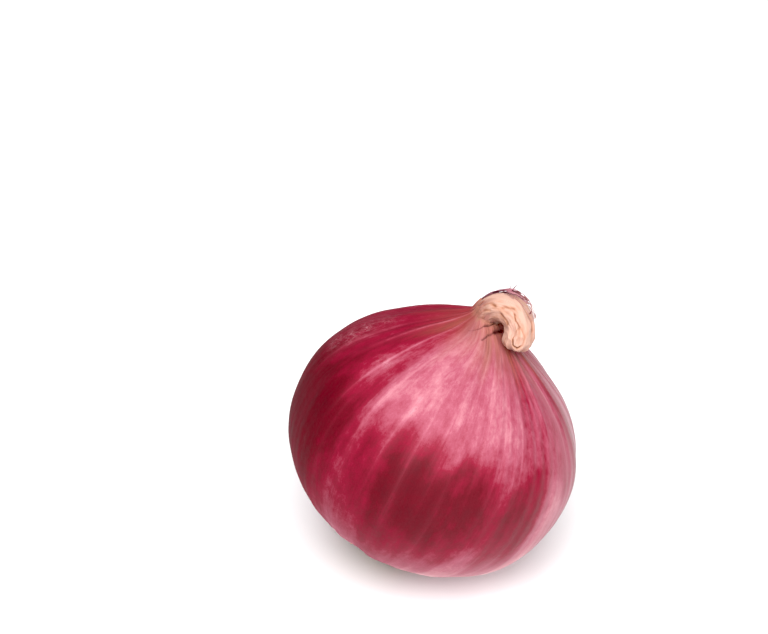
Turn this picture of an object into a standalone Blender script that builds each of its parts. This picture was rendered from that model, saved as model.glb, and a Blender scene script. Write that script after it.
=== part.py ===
"""One red onion as picked and cured: a globe bulb in its dry skin, a dry neck folded over, and a root crust.

The bulb, the neck and the root plate grew as one piece, so the part is one closed solid, named onion.
Units are metres. +Z is up, the floor is z = 0, and the origin is the middle of the flat spot it rests on.
The onion stands on the side of its root end, so its own axis leans towards +X.
"""

import math

import bmesh
import bpy
import numpy as np
from mathutils import Matrix, Vector

MM = 0.001

# Bulb, measured along its own axis from the widest section.
BULB_RADIUS = 33.0 * MM
ROOT_DEPTH = 28.4 * MM  # widest section to the root pole
ROOT_FULLNESS = 2.1  # superellipse exponent of the lower half; 2 is an ellipse
SHOULDER_HEIGHT = 33.0 * MM  # widest section to where the shoulder's cone would close
SHOULDER_POWER = 2.43
SHOULDER_SHARPNESS = 0.94  # 0.5 is an ellipse, 1 is nearly a cone

# Low waves round the bulb: (waves per turn, height as a share of the radius, phase in degrees).
LOBES = ((2, 0.0060, 20.0), (3, 0.0045, 75.0), (5, 0.0030, 10.0))

# Root crust, the low disc of dried root stubs under the bulb.
CRUST_RADIUS = 9.2 * MM
CRUST_THICKNESS = 1.5 * MM
CRUST_FLATNESS = 4  # exponent of the crust's dome; higher is flatter, with a steeper rim
CRUST_RIM = 0.6  # exponent of the rim; lower is blunter

# Dry neck, a flattened stub that folds over and down beside itself.
NECK_FOLD_AZIMUTH = math.radians(-50.0)  # which way it folds, from the lean towards +Y
NECK_OFFSET = 2.8 * MM  # the neck stands off the bulb's axis, away from its fold
NECK_OFFSET_START = 20.0 * MM  # above the widest section, where the shoulder starts to lean that way
NECK_BEND_RADIUS = 4.7 * MM
NECK_BEND_START = 32.1 * MM  # above the widest section
NECK_BEND_ANGLE = math.radians(168.0)
NECK_TAIL = 2.6 * MM  # straight run after the bend
NECK_DRIFT = 2.8 * MM  # how far the folded end slides sideways down the shoulder
NECK_HALF_THICKNESS = (3.2 * MM, 3.3 * MM)  # in the plane of the bend, at its root and at its tip
NECK_HALF_WIDTH = (4.3 * MM, 4.0 * MM)  # across that plane, at its root and at its tip
NECK_FILLET_POWER = 2.6  # how tightly the shoulder runs into the neck
NECK_TIP_ROUNDING = 2.2 * MM

# How it rests.
LEAN = math.radians(27.0)
FLAT_SPOT_DEPTH = 0.65 * MM  # how much of the round underside the flat spot takes off

# Mesh.
SEGMENTS = 52
CRUST_RINGS = 6
LOWER_RINGS = 13
SHOULDER_RINGS = 15
NECK_RINGS = 20
TIP_RINGS = 4

SKIN_COLOUR = (0.42, 0.02, 0.07, 1.0)
SKIN_ROUGHNESS = 0.38


def clear_scene():
    """Removes whatever the open file holds."""
    for old in list(bpy.data.objects):
        bpy.data.objects.remove(old, do_unlink=True)


def smoothstep(low, high, value):
    """0 below low, 1 above high, and a smooth rise between."""
    share = np.clip((value - low) / (high - low), 0.0, 1.0)
    return share * share * (3.0 - 2.0 * share)


def lobe_factor(azimuth, weight):
    """The factor on the radius that makes the bulb slightly out of round."""
    waves = sum(
        height * np.cos(count * azimuth + math.radians(phase)) for count, height, phase in LOBES
    )
    return 1.0 + weight * waves


def lower_point(turn):
    """(radius, height) on the lower half, for turn from 0 at the root pole to a quarter turn at the widest."""
    power = 2.0 / ROOT_FULLNESS
    radius = BULB_RADIUS * math.sin(turn) ** power
    height = -ROOT_DEPTH * max(math.cos(turn), 0.0) ** power
    crust = CRUST_THICKNESS * max(1.0 - (radius / CRUST_RADIUS) ** CRUST_FLATNESS, 0.0) ** CRUST_RIM
    return radius, height - crust


def shoulder_radius(height):
    """Radius of the shoulder at this height, which falls to nothing at the cone's tip."""
    share = min(height / SHOULDER_HEIGHT, 1.0)
    return BULB_RADIUS * (1.0 - share**SHOULDER_POWER) ** SHOULDER_SHARPNESS


def spine(length):
    """(point, direction) of the onion's centreline, at this length above the widest section.

    It runs up the bulb, bears off a little before the neck, goes round the neck's bend in the XZ plane while
    it drifts towards -Y, and runs straight on after it.
    """
    offset = NECK_OFFSET * float(smoothstep(NECK_OFFSET_START, NECK_BEND_START, length))
    along = length - NECK_BEND_START
    if along <= 0.0:
        return Vector((-offset, 0.0, length)), Vector((0.0, 0.0, 1.0))
    angle = min(along / NECK_BEND_RADIUS, NECK_BEND_ANGLE)
    drift = NECK_DRIFT * float(smoothstep(0.0, neck_length() - NECK_BEND_START, along))
    point = Vector(
        (
            NECK_BEND_RADIUS * (1.0 - math.cos(angle)) - offset,
            -drift,
            NECK_BEND_START + NECK_BEND_RADIUS * math.sin(angle),
        )
    )
    direction = Vector((math.sin(angle), 0.0, math.cos(angle)))
    tail = along - NECK_BEND_RADIUS * angle
    return point + direction * max(tail, 0.0), direction


def neck_length():
    """Length of the centreline from the widest section to the neck's tip."""
    return NECK_BEND_START + NECK_BEND_RADIUS * NECK_BEND_ANGLE + NECK_TAIL


def section_radii(length):
    """(half thickness in the bend's plane, half width across it) of the onion at this length of the spine."""
    share = (length - NECK_BEND_START) / (neck_length() - NECK_BEND_START)
    share = min(max(share, 0.0), 1.0)
    bulb = shoulder_radius(length)
    radii = []
    for at_root, at_tip in (NECK_HALF_THICKNESS, NECK_HALF_WIDTH):
        neck = at_root + (at_tip - at_root) * share
        radii.append((bulb**NECK_FILLET_POWER + neck**NECK_FILLET_POWER) ** (1.0 / NECK_FILLET_POWER))
    return radii


def ring_points(centre, direction, thickness, width, lobes):
    """One closed ring round the spine, as an array of points."""
    azimuth = np.linspace(0.0, 2.0 * math.pi, SEGMENTS, endpoint=False)
    swell = lobe_factor(azimuth, lobes)
    across = Vector((0.0, 1.0, 0.0))
    side = across.cross(direction)
    offsets = np.outer(thickness * swell * np.cos(azimuth), side)
    offsets += np.outer(width * swell * np.sin(azimuth), across)
    return np.array(centre) + offsets


def lower_rings():
    """Rings of the root crust and of the lower half, from next to the root pole up to the widest section."""
    power = ROOT_FULLNESS / 2.0
    crust_turn = math.asin((1.15 * CRUST_RADIUS / BULB_RADIUS) ** power)
    turns = list(np.linspace(0.0, crust_turn, CRUST_RINGS + 1)[1:])
    turns += list(np.linspace(crust_turn, math.pi / 2.0, LOWER_RINGS + 1)[1:])
    rings = []
    for turn in turns:
        radius, height = lower_point(turn)
        lobes = float(smoothstep(0.0, 0.8, radius / BULB_RADIUS))
        rings.append(ring_points(Vector((0, 0, height)), Vector((0, 0, 1)), radius, radius, lobes))
    return rings


def upper_rings():
    """Rings of the shoulder and of the neck, up to its rounded tip."""
    shares = np.linspace(0.0, 1.0, SHOULDER_RINGS + 1)[1:]
    lengths = list(NECK_BEND_START * np.sin(shares * math.pi / 2.0) ** 0.85)
    tip_start = neck_length() - NECK_TIP_ROUNDING
    lengths += list(np.linspace(NECK_BEND_START, tip_start, NECK_RINGS + 1)[1:])
    rings = []
    for length in lengths:
        centre, direction = spine(length)
        thickness, width = section_radii(length)
        lobes = float(smoothstep(0.15, 0.8, thickness / BULB_RADIUS))
        rings.append(ring_points(centre, direction, thickness, width, lobes))
    for step in range(1, TIP_RINGS + 1):
        turn = math.pi / 2.0 * step / (TIP_RINGS + 1)
        length = tip_start + NECK_TIP_ROUNDING * math.sin(turn)
        centre, direction = spine(length)
        thickness, width = (radius * math.cos(turn) ** 0.7 for radius in section_radii(length))
        rings.append(ring_points(centre, direction, thickness, width, 0.0))
    return rings


def build_onion():
    """The whole onion as one mesh of rings, closed by a point at the root pole and one at the neck's tip.

    It is turned so that its neck folds the right way, then leaned.
    """
    turn = Matrix.Rotation(NECK_FOLD_AZIMUTH, 4, "Z")
    lean = Matrix.Rotation(LEAN, 4, "Y")
    tip, _ = spine(neck_length())
    rings = [*lower_rings(), *upper_rings()]
    mesh = bmesh.new()
    root = mesh.verts.new((0.0, 0.0, lower_point(0.0)[1]))
    loops = [[mesh.verts.new(point) for point in ring] for ring in rings]
    end = mesh.verts.new(tip)
    for index in range(SEGMENTS):
        after = (index + 1) % SEGMENTS
        mesh.faces.new((root, loops[0][after], loops[0][index]))
        for low, high in zip(loops, loops[1:]):
            mesh.faces.new((low[index], low[after], high[after], high[index]))
        mesh.faces.new((end, loops[-1][index], loops[-1][after]))
    bmesh.ops.transform(mesh, matrix=lean @ turn, verts=mesh.verts)
    bmesh.ops.recalc_face_normals(mesh, faces=mesh.faces)
    return mesh


def underside(mesh):
    """The lowest point of the leaned onion, found between its rings by fitting a bowl to the points near it."""
    points = np.array([vertex.co for vertex in mesh.verts])
    near = points[points[:, 2] < points[:, 2].min() + 2.0 * MM]
    x, y, z = near.T
    terms = np.stack([np.ones_like(x), x, y, x * x, x * y, y * y], axis=1)
    c0, cx, cy, cxx, cxy, cyy = np.linalg.lstsq(terms, z, rcond=None)[0]
    low = np.linalg.solve([[2 * cxx, cxy], [cxy, 2 * cyy]], [-cx, -cy])
    height = c0 + cx * low[0] + cy * low[1] + cxx * low[0] ** 2 + cxy * low[0] * low[1] + cyy * low[1] ** 2
    return Vector((low[0], low[1], height))


def ground_cutter():
    """The slab under the floor that takes the flat spot off the underside. It isn't part of the onion."""
    depth = 20.0 * MM
    bpy.ops.mesh.primitive_cube_add(size=1.0, location=(0.0, 0.0, -depth / 2.0))
    slab = bpy.context.object
    slab.name = "ground_cutter"
    slab.data.transform(Matrix.Diagonal((0.2, 0.2, depth, 1.0)))
    slab.hide_render = True
    slab.display_type = "WIRE"
    return slab


def skin_material():
    """Dry red onion skin, satin and slightly glossy."""
    material = bpy.data.materials.new("onion_skin")
    material.use_nodes = True
    shader = material.node_tree.nodes["Principled BSDF"]
    shader.inputs["Base Color"].default_value = SKIN_COLOUR
    shader.inputs["Roughness"].default_value = SKIN_ROUGHNESS
    shader.inputs["Metallic"].default_value = 0.0
    material.diffuse_color = SKIN_COLOUR
    return material


def main():
    clear_scene()
    mesh = build_onion()
    low = underside(mesh)
    floor = Vector((low.x, low.y, low.z + FLAT_SPOT_DEPTH))
    bmesh.ops.translate(mesh, vec=-floor, verts=mesh.verts)
    data = bpy.data.meshes.new("onion")
    mesh.to_mesh(data)
    mesh.free()
    data.shade_smooth()
    data.materials.append(skin_material())
    onion = bpy.data.objects.new("onion", data)
    bpy.context.scene.collection.objects.link(onion)
    cut = onion.modifiers.new("flat_spot", "BOOLEAN")
    cut.operation = "DIFFERENCE"
    cut.object = ground_cutter()


main()
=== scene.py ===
"""Looks of one whole red onion: papery red skin, a folded dry neck, torn outer skin and a root crust.

Every shape is a surface worked out as whole numpy arrays. Lengths are metres, and MM turns millimetres into
metres. The bulb's own frame has Z along the onion's axis, with its origin at the widest section, and X the way
the neck folds. OnionForm.placed turns it into the shared frame, where the onion leans and rests on the floor.
"""

import logging
import math
from dataclasses import dataclass
from enum import Enum
from functools import cached_property
from typing import Any

import bpy
import numpy as np
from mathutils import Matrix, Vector


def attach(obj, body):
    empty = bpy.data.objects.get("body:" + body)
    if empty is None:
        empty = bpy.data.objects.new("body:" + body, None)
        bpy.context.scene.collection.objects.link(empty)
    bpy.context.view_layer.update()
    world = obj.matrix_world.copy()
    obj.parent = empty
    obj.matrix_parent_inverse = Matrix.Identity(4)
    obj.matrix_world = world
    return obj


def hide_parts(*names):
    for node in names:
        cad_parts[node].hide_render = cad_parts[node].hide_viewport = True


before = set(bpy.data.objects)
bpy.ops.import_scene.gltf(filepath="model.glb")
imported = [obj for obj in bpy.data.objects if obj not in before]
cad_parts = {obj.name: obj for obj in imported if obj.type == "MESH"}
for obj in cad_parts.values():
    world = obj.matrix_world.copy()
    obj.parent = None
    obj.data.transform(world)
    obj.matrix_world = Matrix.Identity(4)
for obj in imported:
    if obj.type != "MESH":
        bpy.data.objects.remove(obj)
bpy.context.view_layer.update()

MM = 0.001
FULL_TURN = 2.0 * math.pi
LOG = logging.getLogger("onion")

Piece = bpy.types.Object
Tree = bpy.types.NodeTree
Socket = bpy.types.NodeSocket
Array = np.ndarray
# Points (across, along) that a line runs through.
Path = tuple[tuple[float, float], ...]
# Points in the bulb's frame, faces, and attributes of one value or three for each point.
Parts = tuple[Array, list[list[int]], dict[str, Array]]


class Body(Enum):
    """The rigid bodies that a piece can ride on."""

    ROOT = "root"


class Slot(Enum):
    """The material slots of the record that a piece can take its finish from."""

    SKIN = "onion_skin"
    NECK = "dry_neck"
    TORN = "torn_skin"
    ROOTS = "dry_roots"


# ---------------- numbers and noise


def smoothstep(low: float, high: float, value: Array | float) -> Array:
    """Smooth rise from 0 at low to 1 at high: 3t^2 - 2t^3 of the clamped share t."""
    share = np.clip((np.asarray(value) - low) / (high - low), 0.0, 1.0)
    return share * share * (3.0 - 2.0 * share)


def bell(distance: Array | float, width: float) -> Array:
    """Bell curve exp(-(distance / width)^2), 1 at no distance."""
    return np.exp(-np.square(np.asarray(distance) / width))


def turned(angle: Array | float) -> Array:
    """The angle brought to between minus and plus half a turn."""
    return (np.asarray(angle) + math.pi) % FULL_TURN - math.pi


def ring_angles(count: int) -> Array:
    """Angles of a ring's points: a full turn in equal steps, without its end."""
    return np.linspace(0.0, FULL_TURN, count, endpoint=False)


def polar(radius: Array | float, angle: Array, height: Array | float) -> Array:
    """Points (radius * cos(angle), radius * sin(angle), height), with a last axis of three."""
    return np.stack(np.broadcast_arrays(radius * np.cos(angle), radius * np.sin(angle), height), axis=-1)


def unit(vectors: Array) -> Array:
    """The vectors of the last axis divided by their lengths."""
    return vectors / np.maximum(np.linalg.norm(vectors, axis=-1, keepdims=True), 1e-12)


def stroke(across: Array, along: Array, path: Path, width: float) -> Array:
    """Mask of a line drawn through points: a bell across the distance to the nearest of its straight runs.

    Args:
        across: First coordinate of each place.
        along: Second coordinate.
        path: The line's points, in the same two coordinates.
        width: Half width of the bell.

    Returns:
        1 on the line, falling to 0 beside it.
    """
    nearest = np.full(np.broadcast(across, along).shape, np.inf)
    for (x0, y0), (x1, y1) in zip(path, path[1:]):
        dx, dy = x1 - x0, y1 - y0
        share = np.clip(((across - x0) * dx + (along - y0) * dy) / (dx * dx + dy * dy), 0.0, 1.0)
        nearest = np.minimum(nearest, np.hypot(across - x0 - share * dx, along - y0 - share * dy))
    return bell(nearest, width)


@dataclass(frozen=True)
class WaveNoise:
    """Smooth seeded noise that closes on itself after one turn round the onion.

    It is the sum of waves cos(n * azimuth + k * along + phase), with whole n, divided by the root of half their
    number, so that it mostly stays between -2 and 2.
    """

    seed: int
    turns: tuple[int, int]
    pitch: float
    waves: int = 20

    def at(self, azimuth: Array, along: Array) -> Array:
        """Reads the noise.

        Args:
            azimuth: Angle round the onion.
            along: Distance along the onion, in metres.

        Returns:
            One value for each place.
        """
        random = np.random.default_rng(self.seed)
        total = np.zeros(np.broadcast(azimuth, along).shape)
        for _ in range(self.waves):
            count = random.integers(self.turns[0], self.turns[1] + 1)
            wave = FULL_TURN * random.uniform(-1.0, 1.0) / self.pitch
            phase = random.uniform(0.0, FULL_TURN)
            total += np.cos(count * azimuth + wave * along + phase)
        return total / math.sqrt(self.waves / 2.0)


# ---------------- the onion's form


@dataclass(frozen=True)
class OnionForm:
    """The outline of the whole onion, with the same sizes as its solid."""

    bulb_radius: float = 33.0 * MM
    root_depth: float = 28.4 * MM
    root_fullness: float = 2.1
    shoulder_height: float = 33.0 * MM
    shoulder_power: float = 2.43
    shoulder_sharpness: float = 0.94
    lobes: tuple[tuple[int, float, float], ...] = ((2, 0.0060, 20.0), (3, 0.0045, 75.0), (5, 0.0030, 10.0))
    neck_offset: float = 2.8 * MM
    neck_offset_start: float = 20.0 * MM
    bend_radius: float = 4.7 * MM
    bend_start: float = 32.1 * MM
    bend_angle: float = math.radians(168.0)
    tail: float = 2.6 * MM
    drift: float = 2.8 * MM
    half_thickness: tuple[float, float] = (3.2 * MM, 3.3 * MM)
    half_width: tuple[float, float] = (4.3 * MM, 4.0 * MM)
    fillet_power: float = 2.6
    fold_azimuth: float = math.radians(-50.0)
    lean: float = math.radians(27.0)
    centre: tuple[float, float, float] = (-2.96 * MM, -0.04 * MM, 28.92 * MM)
    floor_softness: float = 0.25 * MM

    @property
    def neck_length(self) -> float:
        """Length of the centreline from the widest section to the neck's tip."""
        return self.bend_start + self.bend_radius * self.bend_angle + self.tail

    def spine(self, length: Array) -> tuple[Array, Array]:
        """The centreline: straight up the bulb, round an arc of the neck in XZ with a drift to -Y, then straight.

        Args:
            length: Distance along it from the widest section, negative towards the root.

        Returns:
            Points and directions, each with a last axis of three.
        """
        length = np.asarray(length, float)
        along = np.maximum(length - self.bend_start, 0.0)
        angle = np.minimum(along / self.bend_radius, self.bend_angle)
        tail = along - self.bend_radius * angle
        offset = self.neck_offset * smoothstep(self.neck_offset_start, self.bend_start, length)
        drift = self.drift * smoothstep(0.0, self.neck_length - self.bend_start, along)
        direction = np.stack([np.sin(angle), np.zeros_like(angle), np.cos(angle)], axis=-1)
        x = self.bend_radius * (1.0 - np.cos(angle)) - offset
        z = np.minimum(length, self.bend_start) + self.bend_radius * np.sin(angle)
        return np.stack([x, -drift, z], axis=-1) + direction * tail[..., None], direction

    def radii(self, length: Array) -> tuple[Array, Array]:
        """Half thickness in the plane of the bend, and half width across it.

        Below the widest section both are a superellipse. Above it the shoulder's r = R (1 - h^p)^q runs into the
        neck's own radius by a power mean.

        Args:
            length: Distance along the centreline.

        Returns:
            The two radii, in the shape of length.
        """
        length = np.asarray(length, float)
        depth = np.clip(-length / self.root_depth, 0.0, 1.0)
        lower = self.bulb_radius * (1.0 - depth**self.root_fullness) ** (1.0 / self.root_fullness)
        height = np.clip(length / self.shoulder_height, 0.0, 1.0)
        bulb = self.bulb_radius * (1.0 - height**self.shoulder_power) ** self.shoulder_sharpness
        share = np.clip((length - self.bend_start) / (self.neck_length - self.bend_start), 0.0, 1.0)
        power = self.fillet_power
        found = []
        for at_root, at_tip in (self.half_thickness, self.half_width):
            neck = at_root + (at_tip - at_root) * share
            upper = (bulb**power + neck**power) ** (1.0 / power)
            found.append(np.where(length < 0.0, lower, upper))
        return found[0], found[1]

    @cached_property
    def meridian(self) -> tuple[Array, Array]:
        """Table that ties distances along the skin to lengths along the centreline.

        Returns:
            Distances from the root pole, and the lengths that they come to.
        """
        turn = np.linspace(0.0, math.pi / 2.0, 1500)
        lower = -self.root_depth * np.clip(np.cos(turn), 0.0, 1.0) ** (2.0 / self.root_fullness)
        upper = np.linspace(0.0, self.neck_length, 3000)[1:]
        length = np.concatenate([lower, upper])
        radius = self.radii(length)[0]
        steps = np.hypot(np.diff(length), np.diff(radius))
        return np.concatenate([[0.0], np.cumsum(steps)]), length

    def length_at(self, station: Array) -> Array:
        """Length along the centreline at a distance along the skin from the root pole."""
        stations, lengths = self.meridian
        return np.interp(station, stations, lengths)

    def station_at(self, length: Array) -> Array:
        """Distance along the skin from the root pole at a length along the centreline."""
        stations, lengths = self.meridian
        return np.interp(length, lengths, stations)

    def ring(self, length: Array, azimuth: Array, thickness: Array, width: Array) -> Array:
        """Points centreline + thickness * cos(azimuth) * side + width * sin(azimuth) * Y, in the bulb's frame.

        Args:
            length: Length along the centreline of each point.
            azimuth: Angle round it, 0 on the side that the neck folds to.
            thickness: Half thickness in the plane of the bend.
            width: Half width across it.

        Returns:
            Points with a last axis of three.
        """
        centre, direction = self.spine(length)
        across = np.array([0.0, 1.0, 0.0])
        side = np.cross(np.broadcast_to(across, direction.shape), direction)
        out = (thickness * np.cos(azimuth))[..., None] * side
        return centre + out + (width * np.sin(azimuth))[..., None] * across

    def skin(self, length: Array, azimuth: Array) -> Array:
        """The outline itself: rings with the bulb's low lobes, which fade out towards the root and the neck.

        Args:
            length: Length along the centreline of each point.
            azimuth: Angle round it.

        Returns:
            Points in the bulb's frame.
        """
        thickness, width = self.radii(length)
        share = thickness / self.bulb_radius
        weight = np.where(length < 0.0, smoothstep(0.0, 0.8, share), smoothstep(0.15, 0.8, share))
        waves = sum(h * np.cos(n * azimuth + math.radians(p)) for n, h, p in self.lobes)
        swell = 1.0 + weight * waves
        return self.ring(length, azimuth, thickness * swell, width * swell)

    def placed(self, points: Array) -> Array:
        """Turns points into the shared frame: fold about Z, lean about Y, slide, and press onto the floor.

        What would reach under the floor is pressed onto it: height becomes (z + sqrt(z^2 + softness^2)) / 2.

        Args:
            points: Points of the bulb's frame, with a last axis of three.

        Returns:
            The same points in the shared frame.
        """
        cf, sf = math.cos(self.fold_azimuth), math.sin(self.fold_azimuth)
        cl, sl = math.cos(self.lean), math.sin(self.lean)
        fold = np.array([[cf, -sf, 0.0], [sf, cf, 0.0], [0.0, 0.0, 1.0]])
        lean = np.array([[cl, 0.0, sl], [0.0, 1.0, 0.0], [-sl, 0.0, cl]])
        placed = points @ (lean @ fold).T + np.array(self.centre)
        height = placed[..., 2]
        placed[..., 2] = 0.5 * (height + np.sqrt(height * height + self.floor_softness**2))
        return placed


# ---------------- meshes


def grid_normals(points: Array) -> Array:
    """Outward unit normals of a grid that closes round its columns: the cross product of its two slopes."""
    around = np.roll(points, -1, axis=1) - np.roll(points, 1, axis=1)
    return unit(np.cross(around, np.gradient(points, axis=0)))


@dataclass
class Surface:
    """A named surface of the onion. Each kind below works out its own points, faces and attributes."""

    name: str

    def parts(self) -> Parts:
        """The surface's points, faces and attributes."""
        raise NotImplementedError

    def build(self, form: OnionForm) -> Piece:
        """Makes the mesh object, its place in its mesh.

        Args:
            form: The onion, which places the points.

        Returns:
            The new object, shaded smooth.
        """
        points, faces, attributes = self.parts()
        mesh = bpy.data.meshes.new(self.name)
        mesh.from_pydata(form.placed(points).tolist(), [], faces)
        for name, values in attributes.items():
            kind, field = ("FLOAT_VECTOR", "vector") if values.size == points.size else ("FLOAT", "value")
            mesh.attributes.new(name, kind, "POINT").data.foreach_set(field, values.ravel())
        mesh.shade_smooth()
        mesh.update()
        piece = bpy.data.objects.new(self.name, mesh)
        bpy.context.scene.collection.objects.link(piece)
        return piece


@dataclass
class Shell(Surface):
    """A grid of points, rows by columns, that closes round its columns and is capped at both ends.

    Each cap is a fan round the middle of its end ring. Attributes are grids of one value or three for each point.
    """

    points: Array
    attributes: dict[str, Array]

    def capped(self, grid: Array) -> Array:
        """The grid as a list, followed by the means of its first and last rings."""
        rings = grid.reshape(*self.points.shape[:2], -1)
        return np.concatenate([rings.reshape(-1, rings.shape[2]), rings[[0, -1]].mean(axis=1)])

    def parts(self) -> Parts:
        """Works out the shell: a quad between four neighbours, and a triangle to the middle at each end.

        Returns:
            Points, faces and attributes.
        """
        rows, columns, _ = self.points.shape
        index = np.arange(rows * columns).reshape(rows, columns)
        after = np.roll(index, -1, axis=1)
        quads = np.stack([index[:-1], after[:-1], after[1:], index[1:]], axis=-1).reshape(-1, 4)
        low, high = np.full(columns, rows * columns), np.full(columns, rows * columns + 1)
        start, end = np.stack([low, after[0], index[0]], axis=-1), np.stack([high, index[-1], after[-1]], axis=-1)
        faces = quads.tolist() + start.tolist() + end.tolist()
        return self.capped(self.points), faces, {k: self.capped(v) for k, v in self.attributes.items()}


@dataclass
class Bundle(Surface):
    """Many thin tapered strands in one mesh: a tube of a few sides round each path.

    The paths are strands by steps by three, and the radii strands by steps. Each strand has its own shade, 0 to 1.
    """

    paths: Array
    radii: Array
    sides: int
    seed: int

    def parts(self) -> Parts:
        """Works out the tubes: path + radius * (cos(turn) * side + sin(turn) * other side), closed at both ends.

        Returns:
            Points, faces and attributes.
        """
        strands, steps, _ = self.paths.shape
        direction = unit(np.gradient(self.paths, axis=1))
        helper = np.where(np.abs(direction[:, :1, 2:]) < 0.8, [0.0, 0.0, 1.0], [1.0, 0.0, 0.0])
        side = unit(np.cross(direction, helper))
        other = np.cross(direction, side)
        turn = ring_angles(self.sides)[:, None]
        ring = np.cos(turn) * side[:, :, None, :] + np.sin(turn) * other[:, :, None, :]
        points = self.paths[:, :, None, :] + self.radii[:, :, None, None] * ring
        index = np.arange(points[..., 0].size).reshape(strands, steps, self.sides)
        after = np.roll(index, -1, axis=2)
        quads = np.stack([index[:, :-1], after[:, :-1], after[:, 1:], index[:, 1:]], axis=-1).reshape(-1, 4)
        caps = np.concatenate([index[:, 0, ::-1], index[:, -1]])
        shade = np.random.default_rng(self.seed).random(strands)[:, None, None]
        reach = np.linspace(0.0, 1.0, steps)[None, :, None]
        values = {"shade": np.broadcast_to(shade, index.shape), "reach": np.broadcast_to(reach, index.shape)}
        return points.reshape(-1, 3), quads.tolist() + caps.tolist(), values


@dataclass
class Sheet(Surface):
    """A torn sheet: a grid of points of which only some faces are kept."""

    points: Array
    keep: Array
    attributes: dict[str, Array]

    def parts(self) -> Parts:
        """Works out the sheet: a quad between four neighbours where it is kept, and only the points that it needs.

        Returns:
            Points, faces and attributes.
        """
        rows, columns, _ = self.points.shape
        index = np.arange(rows * columns).reshape(rows, columns)
        quads = np.stack([index[:-1, :-1], index[:-1, 1:], index[1:, 1:], index[1:, :-1]], axis=-1)[self.keep]
        used, quads = np.unique(quads, return_inverse=True)
        values = {k: v.reshape(rows * columns, -1)[used] for k, v in self.attributes.items()}
        return self.points.reshape(-1, 3)[used], quads.reshape(-1, 4).tolist(), values


# ---------------- finishes


def linear(hex_colour: str) -> tuple[float, float, float, float]:
    """Turns a colour to linear light.

    Args:
        hex_colour: sRGB colour as hex, such as 7A0A22.

    Returns:
        Red, green and blue light, and full alpha.
    """
    srgb = [int(hex_colour[i : i + 2], 16) / 255.0 for i in (0, 2, 4)]
    light = [c / 12.92 if c <= 0.04045 else ((c + 0.055) / 1.055) ** 2.4 for c in srgb]
    return light[0], light[1], light[2], 1.0


def fill(tree: Tree, node: bpy.types.Node, inputs: dict[Any, Any]) -> None:
    """Gives a node's inputs what belongs to them.

    Args:
        tree: Node tree of the material.
        node: The node.
        inputs: A socket to link, a hex colour, or a value, for each input by its name or number.
    """
    for key, value in inputs.items():
        if isinstance(value, Socket):
            tree.links.new(value, node.inputs[key])
        else:
            node.inputs[key].default_value = linear(value) if isinstance(value, str) else value


def add(tree: Tree, kind: str, *values: Any, inputs: dict[Any, Any] | None = None, output: int | str = 0,
        stops: dict[float, str] | None = None, **settings: Any) -> Socket:
    """Adds one shader node with its settings and links.

    Args:
        tree: Node tree of the material.
        kind: Node type without its ShaderNode prefix, such as TexNoise.
        values: What its first inputs get, in order.
        inputs: What other inputs get, by name or number.
        output: The output that is wanted.
        stops: Hex colours of a colour ramp, by their place from 0 to 1.
        settings: The node's own settings.

    Returns:
        The output.
    """
    made = tree.nodes.new("ShaderNode" + kind)
    for name, value in settings.items():
        setattr(made, name, value)
    for number, (place, colour) in enumerate((stops or {}).items()):
        marks = made.color_ramp.elements
        mark = marks[number] if number < len(marks) else marks.new(place)
        mark.position, mark.color = place, linear(colour)
    fill(tree, made, dict(enumerate(values)) | (inputs or {}))
    return made.outputs[output]


def swung(tree: Tree, base: Socket | float, *textures: tuple[Socket, float]) -> Socket:
    """Swings a value by textures about their middles: base + the sum of strength * (texture - 0.5).

    Args:
        tree: Node tree of the material.
        base: The value.
        textures: Each texture, 0 to 1, with its strength.

    Returns:
        The swung value.
    """
    total = add(tree, "Math", base, 0.5 * sum(strength for _, strength in textures), operation="SUBTRACT")
    for texture, strength in textures:
        total = add(tree, "Math", texture, strength, total, operation="MULTIPLY_ADD")
    return total


def covered(tree: Tree, colour: Socket, *covers: tuple[Socket, float, str]) -> Socket:
    """Lays colours over a colour, one after another.

    Args:
        tree: Node tree of the material.
        colour: The colour underneath.
        covers: Each cover's mask, its strength and its hex colour.

    Returns:
        The colour on top.
    """
    for mask, strength, cover in covers:
        share = add(tree, "Math", mask, strength, operation="MULTIPLY")
        colour = add(tree, "Mix", inputs={0: share, 6: colour, 7: cover}, output=2, data_type="RGBA")
    return colour


@dataclass(frozen=True)
class Texture:
    """Uneven growth of skin or fibre: cells for each millimetre along each axis, octaves, and how far it warps."""

    cells: tuple[float, float, float]
    octaves: float = 4.0
    warp: float = 0.0

    def read(self, tree: Tree, place: Socket) -> Socket:
        """Its value, 0 to 1, at a vector in millimetres: noise read along the vector, stretched by the cells."""
        noise = {"Vector": add(tree, "Mapping", inputs={"Vector": place, "Scale": self.cells}), "Scale": 1.0}
        return add(tree, "TexNoise", inputs=noise | {"Detail": self.octaves, "Distortion": self.warp})


@dataclass(frozen=True)
class Finish:
    """What every finish shares: the making of its material. The kinds below paint it."""

    name: str = ""

    def paint(self, tree: Tree) -> dict[str, Any]:
        """What the shader's inputs get: sockets, hex colours, or values that are the same all over."""
        raise NotImplementedError

    def make(self) -> bpy.types.Material:
        """Builds the material.

        Returns:
            The node material.
        """
        material = bpy.data.materials.new(self.name)
        material.use_nodes = True
        tree = material.node_tree
        fill(tree, tree.nodes["Principled BSDF"], self.paint(tree))
        return material


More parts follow.
